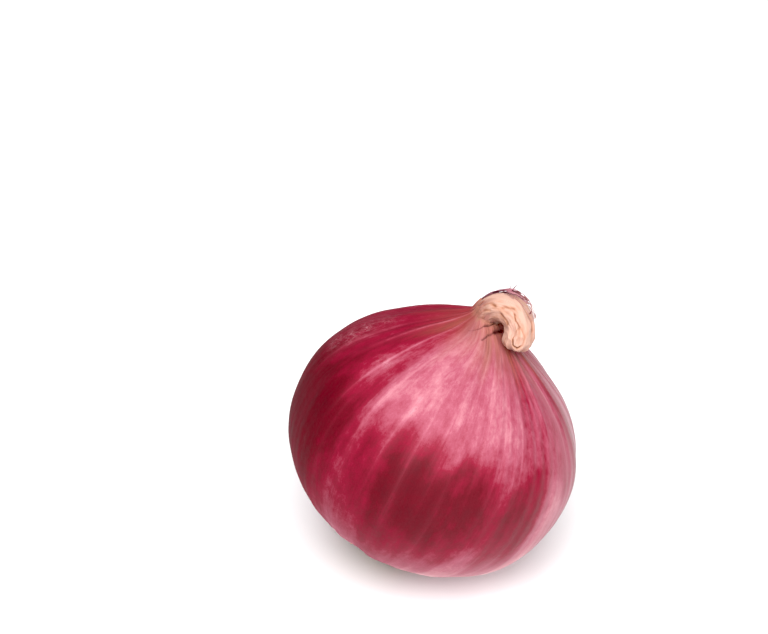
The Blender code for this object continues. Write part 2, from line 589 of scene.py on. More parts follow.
@dataclass(frozen=True)
class PaperySkin(Finish):
    """Dry outer skin of a red onion: thin, tough, satin paper over purple-red flesh.

    The eye gets a deep crimson body with a soft broad gloss, paler fibres from root to neck, darker watery patches
    between them, and a tan bloom where the skin dries out at the neck and at the root. A painted highlight over the
    shoulder, a painted pale reflection low on the bulb and on one rim, and painted shade in the creases by the neck
    are in its colour too.
    """

    name: str = "papery_onion_skin"
    deepest: str = "4C0410"
    deep: str = "5C0616"
    body: str = "7C102A"
    bright: str = "9B4E5F"
    pale: str = "BA8088"
    # Top of the ramp: the palest pink, reached mostly where the painted reflection of the floor lies.
    palest_with_reflection: str = "DCB2B8"
    vein: str = "C88492"
    tan: str = "905C4A"
    husk: str = "9C6C5C"
    scuff: str = "BC8C94"
    # Dark colour of the painted shade in the creases, also used for the real dark freckles.
    shadow: str = "3A1418"
    gloss_tint: str = "FFE5EB"
    roughness: float = 0.36
    dulling: float = 0.48
    ior: float = 1.42

    def paint(self, tree: Tree) -> dict[str, Any]:
        """Paints the skin from the piece's own attributes.

        Args:
            tree: Node tree of the material.

        Returns:
            What the shader's inputs get.
        """
        grain = add(tree, "Attribute", output="Vector", attribute_name="grain")
        tone, vein, dry, crease_and_shade, husk, scuff, dull = (
            add(tree, "Attribute", output="Fac", attribute_name=name)
            for name in ("tone", "vein", "dry", "crease_and_shade", "husk", "scuff", "dull")
        )
        # Watery patches 6 mm across the fibres and 17 mm along them, fibres 0.5 mm apart, streaks 2 mm apart,
        # mottling of 0.7 mm, speckles of 0.25 mm, and clouds of 2 to 3 mm.
        patch = Texture((0.16, 0.16, 0.06), 3.0, 0.4).read(tree, grain)
        fibre = Texture((1.9, 1.9, 0.05), 5.0).read(tree, grain)
        streak = Texture((0.55, 0.55, 0.04), 3.0).read(tree, grain)
        mottle = Texture((1.5, 1.5, 1.0)).read(tree, grain)
        speckle = Texture((4.2, 4.2, 3.2), 2.0).read(tree, grain)
        cloud = Texture((0.5, 0.5, 0.36), 5.0, 0.3).read(tree, grain)
        shade = swung(tree, tone, (patch, 0.32), (mottle, 0.19), (speckle, 0.14), (cloud, 0.33))
        # The lines along the fibres fade where the skin has dried.
        calm = add(tree, "MapRange", dry, 0.0, 0.4, 1.0, 0.35)
        lines = swung(tree, 0.0, (streak, 0.11), (fibre, 0.10))
        shade = add(tree, "Math", lines, calm, shade, operation="MULTIPLY_ADD")
        veined = add(tree, "MapRange", fibre, 0.3, 0.6, 0.5, 1.0)
        veined = add(tree, "Math", vein, veined, operation="MULTIPLY")
        shade = add(tree, "Math", veined, 0.18, shade, operation="MULTIPLY_ADD")
        shade = add(tree, "Math", shade, 0.8, operation="MULTIPLY")
        colour = add(tree, "ValToRGB", shade, stops={0.0: self.deepest, 0.2: self.deep, 0.4: self.body,
                                                     0.6: self.bright, 0.8: self.pale, 1.0: self.palest_with_reflection})
        dried = add(tree, "MapRange", streak, 0.3, 0.7, 0.75, 1.0)
        dried = add(tree, "Math", dry, dried, operation="MULTIPLY", use_clamp=True)
        # Scuffs: pale dusty specks of about 0.3 mm, thicker in some clouds than in others.
        speck = Texture((2.8, 2.8, 1.6), 6.0, 0.9).read(tree, grain)
        scuffed = scuff
        for dust in (add(tree, "MapRange", speck, 0.42, 0.70), add(tree, "MapRange", cloud, 0.36, 0.60, 0.2, 1.2)):
            scuffed = add(tree, "Math", scuffed, dust, operation="MULTIPLY")
        # Pores and dark freckles, about 0.3 mm across and well apart, only in some places 5 mm across.
        spaced = add(tree, "Mapping", inputs={"Vector": grain, "Scale": (0.33, 0.33, 0.30)})
        pores = add(tree, "TexVoronoi", inputs={"Vector": spaced, "Scale": 1.0, "Randomness": 1.0},
                    output="Distance")
        freckle = add(tree, "MapRange", pores, 0.035, 0.075, 1.0, 0.0)
        some = add(tree, "MapRange", Texture((0.2, 0.2, 0.2), 1.0).read(tree, grain), 0.5, 0.56)
        freckle = add(tree, "Math", freckle, some, operation="MULTIPLY")
        # The crease mask lays painted shade; veins, tan, husk, scuffs and freckles are the skin's own colour.
        colour = covered(tree, colour, (veined, 0.09, self.vein), (dried, 1.0, self.tan), (husk, 1.0, self.husk),
                         (crease_and_shade, 1.0, self.shadow), (scuffed, 0.5, self.scuff), (freckle, 0.35, self.shadow))
        rough = add(tree, "Math", dull, self.dulling, self.roughness, operation="MULTIPLY_ADD")
        rough = swung(tree, rough, (mottle, 0.25), (streak, 0.20), (cloud, 0.25))
        rough = add(tree, "Math", dry, 0.25, rough, operation="MULTIPLY_ADD", use_clamp=True)
        relief = swung(tree, 0.0, (mottle, 0.9), (fibre, 0.35), (streak, 0.45))
        bump = add(tree, "Bump", inputs={"Height": relief, "Strength": 0.4, "Distance": 0.12 * MM})
        return {"Base Color": colour, "Roughness": rough, "Normal": bump, "IOR": self.ior,
                "Specular Tint": self.gloss_tint}


@dataclass(frozen=True)
class DryNeckPaper(Finish):
    """Dried neck of a cured onion: many layers of straw-coloured paper pressed together.

    The eye gets a matte warm cream with tan fibres along the neck, brown painted shade in the folds and grooves, and
    pink where the neck comes out of the red skin.
    """

    name: str = "dry_neck_paper"
    cream: str = "BA9282"
    straw: str = "AC7C66"
    tan: str = "845238"
    # Dark brown of the painted shade in the folds and grooves.
    fold: str = "482214"
    stain: str = "86504A"
    roughness: float = 0.72
    ior: float = 1.45
    sheen: float = 0.1

    def paint(self, tree: Tree) -> dict[str, Any]:
        """Paints the neck from the piece's own attributes.

        Args:
            tree: Node tree of the material.

        Returns:
            What the shader's inputs get.
        """
        grain = add(tree, "Attribute", output="Vector", attribute_name="grain")
        fold, stain = (add(tree, "Attribute", output="Fac", attribute_name=name) for name in ("fold", "stain"))
        # Fibres 0.4 mm apart along the neck, and blotches 2 to 3 mm across.
        fibre = Texture((2.4, 2.4, 0.4), 5.0, 0.3).read(tree, grain)
        blotch = Texture((0.45, 0.45, 0.4), 3.0, 0.6).read(tree, grain)
        tone = swung(tree, 0.80, (fibre, 0.40), (blotch, 0.70))
        # Painted shade: darker in the pleat troughs and the grooves.
        tone = add(tree, "Math", fold, -0.85, tone, operation="MULTIPLY_ADD")
        colour = add(tree, "ValToRGB", tone, stops={0.0: self.fold, 0.3: self.tan, 0.58: self.straw,
                                                    0.82: self.cream})
        relief = add(tree, "Math", blotch, 0.8, fibre, operation="MULTIPLY_ADD")
        bump = add(tree, "Bump", inputs={"Height": relief, "Strength": 0.6, "Distance": 0.22 * MM})
        return {"Base Color": covered(tree, colour, (stain, 1.0, self.stain)), "Normal": bump,
                "Roughness": self.roughness, "IOR": self.ior, "Sheen Weight": self.sheen}


@dataclass(frozen=True)
class TornPaper(Finish):
    """Loose, torn outer skin at the neck: brittle dry film.

    The eye gets a faded, dusty mauve, with straw-coloured fibres that show more towards the torn edge.
    """

    name: str = "torn_onion_film"
    crimson: str = "661A2C"
    mauve: str = "7E3C4C"
    faded: str = "9E6A70"
    straw: str = "B28C74"
    roughness: float = 0.6
    sheen: float = 0.15

    def paint(self, tree: Tree) -> dict[str, Any]:
        """Paints the film from the piece's own attributes.

        Args:
            tree: Node tree of the material.

        Returns:
            What the shader's inputs get.
        """
        grain = add(tree, "Attribute", output="Vector", attribute_name="grain")
        edge = add(tree, "Attribute", output="Fac", attribute_name="edge")
        # Fibres 0.5 mm apart along the film.
        fibre = Texture((2.0, 2.0, 0.3)).read(tree, grain)
        shade = add(tree, "Math", fibre, 0.8, -0.35, operation="MULTIPLY_ADD")
        shade = add(tree, "Math", edge, 0.75, shade, operation="MULTIPLY_ADD")
        colour = add(tree, "ValToRGB", shade, stops={0.0: self.crimson, 0.35: self.mauve, 0.65: self.faded,
                                                     1.0: self.straw})
        bump = add(tree, "Bump", inputs={"Height": fibre, "Strength": 0.5, "Distance": 0.1 * MM})
        return {"Base Color": colour, "Normal": bump, "Roughness": self.roughness, "Sheen Weight": self.sheen}


@dataclass(frozen=True)
class DryRoot(Finish):
    """Dried root stubs: brittle straw.

    The eye gets a matte straw, paler at the broken tips and darker towards the stubs' bases, partly their own dark
    brown and partly painted shade down between the stubs.
    """

    name: str = "dry_onion_root"
    base: str = "54301C"
    middle: str = "A87448"
    tip: str = "DDB48A"
    roughness: float = 0.85

    def paint(self, tree: Tree) -> dict[str, Any]:
        """Paints the roots by each strand's own shade and by how far along it a place is.

        Args:
            tree: Node tree of the material.

        Returns:
            What the shader's inputs get.
        """
        shade, reach = (add(tree, "Attribute", output="Fac", attribute_name=name) for name in ("shade", "reach"))
        # Speckles of 0.6 mm. Object coordinates are in metres, so there are 1800 cells to a metre.
        speckle = Texture((1800.0, 1800.0, 1800.0), 3.0).read(tree, add(tree, "TexCoord", output="Object"))
        # Darker towards each strand's base: partly the roots' own colour, partly painted shade down between the
        # stubs.
        value = add(tree, "Math", reach, 0.7, operation="MULTIPLY")
        value = add(tree, "Math", shade, 0.45, value, operation="MULTIPLY_ADD")
        value = swung(tree, value, (speckle, 0.5))
        colour = add(tree, "ValToRGB", value, stops={0.0: self.base, 0.45: self.middle, 1.0: self.tip})
        return {"Base Color": colour, "Roughness": self.roughness}


@dataclass(frozen=True)
class MatteFloor(Finish):
    """Matte off-white board: the eye gets a plain pale ground with hardly any gloss, the same all over."""

    name: str = "matte_white_floor"
    colour: str = "E6E6E6"
    roughness: float = 0.9
    gloss: float = 0.1

    def paint(self, tree: Tree) -> dict[str, Any]:
        """What the shader's inputs get: the floor is the same all over."""
        return {"Base Color": self.colour, "Roughness": self.roughness, "Specular IOR Level": self.gloss}


def dress(piece: Piece, finish: bpy.types.Material) -> Piece:
    """Dresses a piece and lets it ride on the onion's body.

    Args:
        piece: The finished piece.
        finish: Its material.

    Returns:
        The same piece.
    """
    piece.data.materials.append(finish)
    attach(piece, Body.ROOT.value)
    return piece


# ---------------- the bulb in its skin


@dataclass(frozen=True)
class ShadedCrease:
    """A fold line or soft dent by the neck, with painted shade in it: points (degrees, mm past the neck's start),
    width, and depth of the dent and of its painted shade.
    """

    path: Path
    width: float
    depth: float


@dataclass(frozen=True)
class SkinStrip:
    """A stretch of skin between two fibres, from its azimuth in degrees, and its paleness low and high, 0 to 1; some
    strips hold painted light.
    """

    start: float
    low: float
    high: float


@dataclass
class BulbSkin:
    """The outer skin, from under the root crust up over the bulb to its torn edge on the neck.

    Azimuths are degrees round the bulb, from the side that the neck folds to. A station is a distance along the
    skin from the root pole. Each scuff has its azimuth, and its station and size in millimetres.
    """

    form: OnionForm
    columns: int = 640
    rows: int = 149
    start: float = 2.0 * MM
    fine_rows: float = 15.0 * MM
    edge: float = 2.2 * MM
    edge_tilt: float = 0.8 * MM
    edge_raggedness: float = 0.35 * MM
    proud: float = 0.18 * MM
    lip: float = 0.12 * MM
    rib_height: float = 0.025 * MM
    facet_height: float = 0.09 * MM
    pleat_height: float = 0.075 * MM
    root_pleat_height: float = 0.09 * MM
    vein_height: float = 0.03 * MM
    crease_depth: float = 0.5 * MM
    crook: float = 300.0
    crook_radius: float = 5.0 * MM
    shoulder: float = 61.0 * MM
    shoulder_blur: float = 8.0 * MM
    first_strip: float = 8.0
    strip_blur: float = 3.2
    veins: tuple[float, ...] = (225.0, 239.0, 256.5, 269.0, 279.0, 295.5, 324.0, 341.5, 357.0)
    # The strips at 190 and 209 degrees are darker partly by painted shade on that side; the upper tones from 250 to
    # 313 degrees are partly a painted highlight over the shoulder; the pale strips from 342 degrees on are partly a
    # painted reflection on the rim.
    strips: tuple[SkinStrip, ...] = (
        SkinStrip(190.0, 0.26, 0.43), SkinStrip(209.0, 0.15, 0.44), SkinStrip(238.0, 0.26, 0.54),
        SkinStrip(250.0, 0.42, 0.78), SkinStrip(270.0, 0.20, 0.76), SkinStrip(296.0, 0.24, 0.76),
        SkinStrip(313.0, 0.42, 0.72), SkinStrip(324.0, 0.31, 0.60), SkinStrip(342.0, 0.64, 0.66),
        SkinStrip(352.0, 0.54, 0.60), SkinStrip(363.0, 0.42, 0.54),
    )
    # Thin creases are dark lines of painted shade; the wide strokes, 0.6 mm and more, are painted shade in the
    # hollow inside the crook and under the neck's hanging end.
    shaded_creases: tuple[ShadedCrease, ...] = (
        ShadedCrease(((268.0, -1.9), (282.0, -1.1), (293.0, -0.4)), 0.10, 0.45),
        ShadedCrease(((293.0, -0.4), (318.0, 0.2), (340.0, 1.1)), 0.14, 0.75),
        ShadedCrease(((294.0, -2.2), (306.0, -1.3), (322.0, -0.8)), 0.11, 0.6),
        ShadedCrease(((322.0, -0.8), (339.0, -0.6), (361.0, -0.6)), 0.22, 0.9),
        ShadedCrease(((297.0, 2.2), (309.0, 2.8), (330.0, 2.4)), 0.60, 0.8),
        ShadedCrease(((262.0, 0.4), (284.0, 1.2), (300.0, 1.6)), 0.10, 0.4),
        ShadedCrease(((246.0, 1.4), (258.0, -0.2), (268.0, -1.4)), 1.5, 0.24),
        ShadedCrease(((308.0, -2.6), (316.0, -4.2)), 1.1, 0.14),
    )
    rubbed_side: float = 210.0
    scuffed_radius: float = 26.0 * MM
    scuffs: tuple[tuple[float, float, float], ...] = (
        (206.0, 62.0, 2.6), (207.0, 66.0, 3.0), (205.0, 70.0, 3.4), (203.0, 74.5, 3.0), (240.0, 70.0, 1.7),
    )

    def build(self) -> list[Piece]:
        """Builds and dresses the skin, which stands for the onion's solid.

        Returns:
            The skin's object.
        """
        form = self.form
        base_top = float(form.station_at(form.bend_start))
        # Wide steps over the bulb and fine ones at the neck, where the last are stretched to the torn edge.
        fine_from = base_top - self.fine_rows
        wide = np.linspace(self.start, fine_from, self.rows // 2, endpoint=False)
        fine = np.linspace(fine_from, base_top + self.edge, self.rows - self.rows // 2)
        even = np.concatenate([wide, fine])[:, None]
        azimuth = ring_angles(self.columns)[None, :]
        reach = base_top + self.torn_edge(azimuth)
        stretch = smoothstep(base_top - 8.0 * MM, base_top + self.edge, even)
        station = even + stretch * (reach - base_top - self.edge)
        azimuth = np.broadcast_to(azimuth, station.shape)
        length = form.length_at(station)
        points = form.skin(length, azimuth)
        normals = grid_normals(points)
        fibre = self.grain_azimuth(points, azimuth, length)
        vein = self.vein_mask(fibre, station)
        # The creases are dented, and the same mask paints shade into the skin's colour.
        crease_and_shade = self.crease_and_shade_mask(azimuth, length - form.bend_start)
        lift = self.relief(fibre, station, base_top) + self.vein_height * vein - self.crease_depth * crease_and_shade
        lift += self.proud * smoothstep(base_top - 3.0 * MM, base_top + 1.0 * MM, station)
        points, added = self.with_lip(points + lift[..., None] * normals, normals)
        grain = polar(form.bulb_radius / MM, fibre, station / MM)
        husk = 0.85 * (1.0 - smoothstep(0.2 * MM, 2.4 * MM, reach - station))
        attributes = {"grain": grain, "tone": self.tone_with_painted_light(fibre, station), "vein": vein,
                      "dry": self.dryness(fibre, station, base_top), "crease_and_shade": crease_and_shade, "husk": husk,
                      "scuff": self.scuff_mask(fibre, station), "dull": self.dulled(fibre)}
        attributes = {k: np.concatenate([v, np.repeat(v[-1:], added, axis=0)]) for k, v in attributes.items()}
        skin = dress(Shell("onion_skin", points, attributes).build(form), PaperySkin().make())
        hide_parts("onion")
        return [skin]

    def torn_edge(self, azimuth: Array) -> Array:
        """How far up the neck the skin reaches: a low level with ragged teeth, higher on the far side."""
        ragged = WaveNoise(11, (5, 26), 1.0).at(azimuth, np.zeros_like(azimuth))
        return self.edge + self.edge_tilt * np.cos(azimuth - math.radians(120.0)) + self.edge_raggedness * ragged

    def with_lip(self, points: Array, normals: Array) -> tuple[Array, int]:
        """Turns the torn edge inwards by the skin's thickness and closes it deep inside the neck.

        Args:
            points: The skin's grid.
            normals: Its normals.

        Returns:
            The longer grid, and how many rows it gained.
        """
        inner = points[-1] - self.lip * normals[-1]
        down = points[-5] - 3.0 * self.lip * normals[-5]
        middle = down.mean(axis=0) + (down - down.mean(axis=0)) * 0.4
        added = np.stack([inner, down, middle])
        return np.concatenate([points, added]), len(added)

    def grain_azimuth(self, points: Array, azimuth: Array, length: Array) -> Array:
        """Azimuth that the skin's fibres follow.

        On the bulb they keep to planes through its own axis, and on the neck they follow the neck. Between the two
        the directions are mixed, which swings them a little as they come to the neck.

        Args:
            points: Grid in the bulb's frame.
            azimuth: Ring azimuth of each point.
            length: Length along the centreline of each point.

        Returns:
            The azimuth of each point's fibre.
        """
        about_axis = np.arctan2(points[..., 1], points[..., 0])
        share = smoothstep(28.0 * MM, 34.0 * MM, length)
        x = (1.0 - share) * np.cos(about_axis) + share * np.cos(azimuth)
        y = (1.0 - share) * np.sin(about_axis) + share * np.sin(azimuth)
        return np.arctan2(y, x)

    def relief(self, fibre: Array, station: Array, base_top: float) -> Array:
        """Height of the skin over the outline: fine ribs, wide facets, and pleats at the neck and at the root.

        Args:
            fibre: Fibre azimuth.
            station: Distance along the skin.
            base_top: Station of the neck's start.

        Returns:
            Height in metres.
        """
        lift = self.rib_height * WaveNoise(31, (30, 75), 60.0 * MM).at(fibre, station)
        lift += self.facet_height * WaveNoise(32, (6, 18), 40.0 * MM).at(fibre, station)
        lift *= smoothstep(self.start, 14.0 * MM, station)
        neckness = smoothstep(base_top - 9.0 * MM, base_top, station)
        lift += self.pleat_height * neckness * WaveNoise(33, (9, 22), 30.0 * MM).at(fibre, station)
        rootness = 1.0 - smoothstep(9.0 * MM, 19.0 * MM, station)
        return lift + self.root_pleat_height * rootness * WaveNoise(34, (20, 40), 20.0 * MM).at(fibre, station)

    def vein_mask(self, azimuth: Array, station: Array) -> Array:
        """Strength of the pale fibres: bells across each fibre's azimuth, which wanders a little on its way.

        Args:
            azimuth: Fibre azimuth.
            station: Distance along the skin.

        Returns:
            0 away from the fibres, up to 1 on them.
        """
        random = np.random.default_rng(5)
        mask = np.zeros(azimuth.shape)
        hidden = np.sort(random.uniform(8.0, 215.0, 13))
        faint = random.uniform(0.0, 360.0, 30)
        for place, weight in [(a, 1.0) for a in (*self.veins, *hidden)] + [(a, 0.35) for a in faint]:
            wander = math.radians(0.9) * np.sin(station / (11.0 * MM) + random.uniform(0.0, 6.3))
            across = turned(azimuth - math.radians(place) - wander) * self.form.bulb_radius
            width = random.uniform(0.35, 0.70) * MM
            strength = 0.55 + 0.45 * np.sin(station / (random.uniform(5.0, 11.0) * MM) + random.uniform(0, 6.3))
            line = 0.62 * bell(across, width) + 0.38 * bell(across, 3.2 * width)
            mask = np.maximum(mask, weight * line * strength)
        return mask * (0.35 + 0.65 * smoothstep(48.0 * MM, 66.0 * MM, station))

    def tone_with_painted_light(self, azimuth: Array, station: Array) -> Array:
        """Paleness of the skin, with painted highlight, shade and reflection in it: each strip keeps its tone from
        its own edge to the next one's.

        The steps are blurred over a few degrees. Over the shoulder each strip turns to its upper tone, at a height
        that differs from fibre to fibre; that upper tone is partly the skin's own paler colour and partly a painted
        highlight. The lower bulb is paler, partly by its own colour and partly by a painted reflection of the pale
        floor, most of all on one side, and one rim carries a painted reflection too.

        Args:
            azimuth: Fibre azimuth.
            station: Distance along the skin.

        Returns:
            Tone, 0 darkest to 1 palest.
        """
        random = np.random.default_rng(8)
        places = np.cumsum(random.uniform(5.0, 19.0, 40)) + 7.0
        tones = random.uniform(0.28, 0.52, 40)
        hidden = [SkinStrip(place, tone, tone + 0.14) for place, tone in zip(places[places < 184.0], tones)]
        strips = [*hidden, *self.strips]
        wander = 1.3 * WaveNoise(21, (3, 24), 40.0 * MM).at(azimuth, station)
        angle = (np.degrees(azimuth) - wander) % 360.0
        angle = np.where(angle < self.first_strip, angle + 360.0, angle)
        low, high = np.full(azimuth.shape, strips[-1].low), np.full(azimuth.shape, strips[-1].high)
        for before, strip in zip([strips[-1], *strips], strips):
            rise = smoothstep(strip.start - self.strip_blur, strip.start + self.strip_blur, angle)
            low = low + (strip.low - before.low) * rise
            high = high + (strip.high - before.high) * rise
        blotch = MM * WaveNoise(22, (6, 34), 10.0 * MM).at(azimuth, station)
        blur = self.shoulder_blur
        share = smoothstep(self.shoulder - blur, self.shoulder + blur, station + 1.3 * blotch)
        # Paler low on the bulb, most of all round 330 degrees: partly the skin's own colour, partly a painted
        # reflection of the pale floor.
        paling_with_reflection = 0.15 * (1.0 - smoothstep(32.0 * MM, 48.0 * MM, station + 1.5 * blotch))
        paling_with_reflection += 0.24 * (1.0 - smoothstep(18.0 * MM, 38.0 * MM, station))
        paling_with_reflection *= 1.0 + 1.1 * bell(turned(azimuth - math.radians(330.0)), math.radians(45.0))
        # Painted reflection up the rim round 357 degrees.
        reflecting_rim = bell(turned(azimuth - math.radians(357.0)), math.radians(22.0))
        paling_with_reflection += 0.26 * reflecting_rim * (1.0 - smoothstep(48.0 * MM, 66.0 * MM, station + 2.0 * blotch))
        return low + (high - low) * share + paling_with_reflection

    def crease_and_shade_mask(self, azimuth: Array, past: Array) -> Array:
        """Creases that run from the crook of the neck out over the shoulder, with painted shade in them, and wide
        soft strokes of painted shade in the hollow and under the neck's hanging end.

        Args:
            azimuth: Ring azimuth.
            past: Length along the centreline past the start of the neck.

        Returns:
            Depth of the crease and strength of its painted shade, 0 to 1.
        """
        across = turned(azimuth - math.radians(self.crook)) * self.crook_radius
        found = np.zeros(azimuth.shape)
        for crease_and_shade in self.shaded_creases:
            line = tuple((math.radians(a - self.crook) * self.crook_radius, s * MM) for a, s in crease_and_shade.path)
            found = np.maximum(found, crease_and_shade.depth * stroke(across, past, line, crease_and_shade.width * MM))
        return found

    def scuff_mask(self, azimuth: Array, station: Array) -> Array:
        """Where the skin is scuffed: bells across the distance to each scuff, which is wider than it is high.

        Args:
            azimuth: Fibre azimuth.
            station: Distance along the skin.

        Returns:
            1 in the middle of a scuff, falling to 0 beside it.
        """
        found = np.zeros(azimuth.shape)
        for place, along, size in self.scuffs:
            across = turned(azimuth - math.radians(place)) * self.scuffed_radius
            found = np.maximum(found, bell(np.hypot(across, 1.6 * (station - along * MM)), size * MM))
        return found

    def dulled(self, azimuth: Array) -> Array:
        """How far the skin has lost its gloss by rubbing: whole on one side, none on the other."""
        return 0.5 + 0.5 * np.cos(azimuth - math.radians(self.rubbed_side))

    def dryness(self, azimuth: Array, station: Array, base_top: float) -> Array:
        """How far the skin has dried to tan: whole on the neck, fading down the shoulder, and again at the root.

        Args:
            azimuth: Fibre azimuth.
            station: Distance along the skin.
            base_top: Station of the neck's start.

        Returns:
            Dryness, 0 to 1.
        """
        ragged = station + 1.8 * MM * WaveNoise(41, (4, 30), 30.0 * MM).at(azimuth, station)
        neck = smoothstep(base_top - 18.0 * MM, base_top + 1.0 * MM, ragged)
        root = 1.0 - smoothstep(9.0 * MM, 16.0 * MM, ragged)
        side = 0.45 + 0.55 * np.cos(azimuth - math.radians(318.0))
        return np.clip(0.9 * neck * np.maximum(side, 0.12) + 0.75 * root, 0.0, 1.0)


# ---------------- the dry neck


@dataclass
class DryNeck:
    """The dried neck inside the skin: a flattened sheaf of paper layers, folded over, with its cut end showing.

    The marks on it are lines through points (mm across, mm past the start of the bend), about the azimuth face.
    """

    form: OnionForm
    columns: int = 256
    rows: int = 220
    end_rows: int = 39
    radius: float = 4.0 * MM
    under_skin: float = 0.12 * MM
    pleat: float = 0.065 * MM
    crumple: float = 0.19 * MM
    groove: float = 0.45 * MM
    end_rounding: float = 2.0 * MM
    face: float = math.radians(250.0)
    oval: Path = (
        (0.2, 11.2), (-1.0, 11.9), (-1.5, 13.2), (-0.9, 14.6), (0.5, 15.2), (1.5, 14.2), (1.6, 12.8), (0.9, 11.5),
        (0.2, 11.2),
    )
    zigzag: Path = ((0.6, 8.8), (0.0, 9.8), (0.7, 11.2))
    dents: tuple[Path, ...] = (
        ((0.0, 6.3), (1.5, 8.0)),
        ((1.0, 2.6), (0.9, 4.0), (-0.1, 4.8)),
        ((-0.4, 2.2), (-1.2, 3.6)),
        ((-2.0, 6.5), (-2.6, 9.5)),
        ((4.6, 6.0), (4.0, 9.0), (4.4, 12.0)),
        ((-6.5, 5.0), (-6.0, 9.0)),
    )

    def build(self) -> list[Piece]:
        """Builds and dresses the neck.

        Returns:
            The neck's object.
        """
        form = self.form
        turn = np.linspace(0.0, math.pi / 2.0, self.end_rows + 1)[1:]
        round_from = form.neck_length - self.end_rounding
        straight = np.linspace(form.bend_start - 3.0 * MM, round_from, self.rows - self.end_rows)
        length = np.concatenate([straight, round_from + self.end_rounding * np.sin(turn)])[:, None]
        close = np.concatenate([np.ones(len(straight)), np.maximum(np.cos(turn), 0.02) ** 0.6])[:, None]
        thickness, width = form.radii(np.maximum(length, form.bend_start + 0.6 * MM))
        length, azimuth, close = np.broadcast_arrays(length, ring_angles(self.columns)[None, :], close)
        points = form.ring(length, azimuth, (thickness - self.under_skin) * close, (width - self.under_skin) * close)
        along = length - form.bend_start
        pleats = WaveNoise(51, (4, 11), 9.0 * MM).at(azimuth, along)
        crumple = WaveNoise(52, (2, 7), 4.5 * MM).at(azimuth, along)
        fine = WaveNoise(53, (18, 44), 7.0 * MM).at(azimuth, along)
        marks = self.marks(azimuth, along)
        # Crumples are ridges: flat facets that meet in sharp lines.
        lift = self.pleat * pleats + self.crumple * (0.9 - np.abs(crumple)) + 0.02 * MM * fine
        lift = lift * close**0.5 - self.groove * marks
        points = points + lift[..., None] * grid_normals(points)
        # The fold mask paints shade into the pleat troughs and the grooves of the marks.
        fold = np.clip(0.18 * smoothstep(0.7, 1.9, -pleats) + 0.85 * marks, 0.0, 1.0)
        stain = 0.85 * (1.0 - smoothstep(0.8 * MM, 4.4 * MM, along + 0.8 * MM * pleats))
        attributes = {"grain": polar(self.radius / MM, azimuth, along / MM), "fold": fold, "stain": stain}
        return [dress(Shell("dry_neck", points, attributes).build(form), DryNeckPaper().make())]

    def marks(self, azimuth: Array, along: Array) -> Array:
        """Grooves of the neck: the oval rim of its cut end, a zigzag crack above it, and a few soft dents.

        Args:
            azimuth: Angle round the neck.
            along: Distance past the start of the bend.

        Returns:
            Depth of the groove, which also sets its painted shade, 0 to 1.
        """
        across = turned(azimuth - self.face) * -self.radius / MM
        run = along / MM
        shade = 0.28 + 0.72 * smoothstep(-0.2, 1.4, (run - 13.2) - 0.5 * across)
        found = stroke(across, run, self.oval, 0.19) * shade
        found = np.maximum(found, 0.60 * stroke(across, run, self.zigzag, 0.20))
        for dent in self.dents:
            found = np.maximum(found, 0.5 * stroke(across, run, dent, 0.35))
        return found


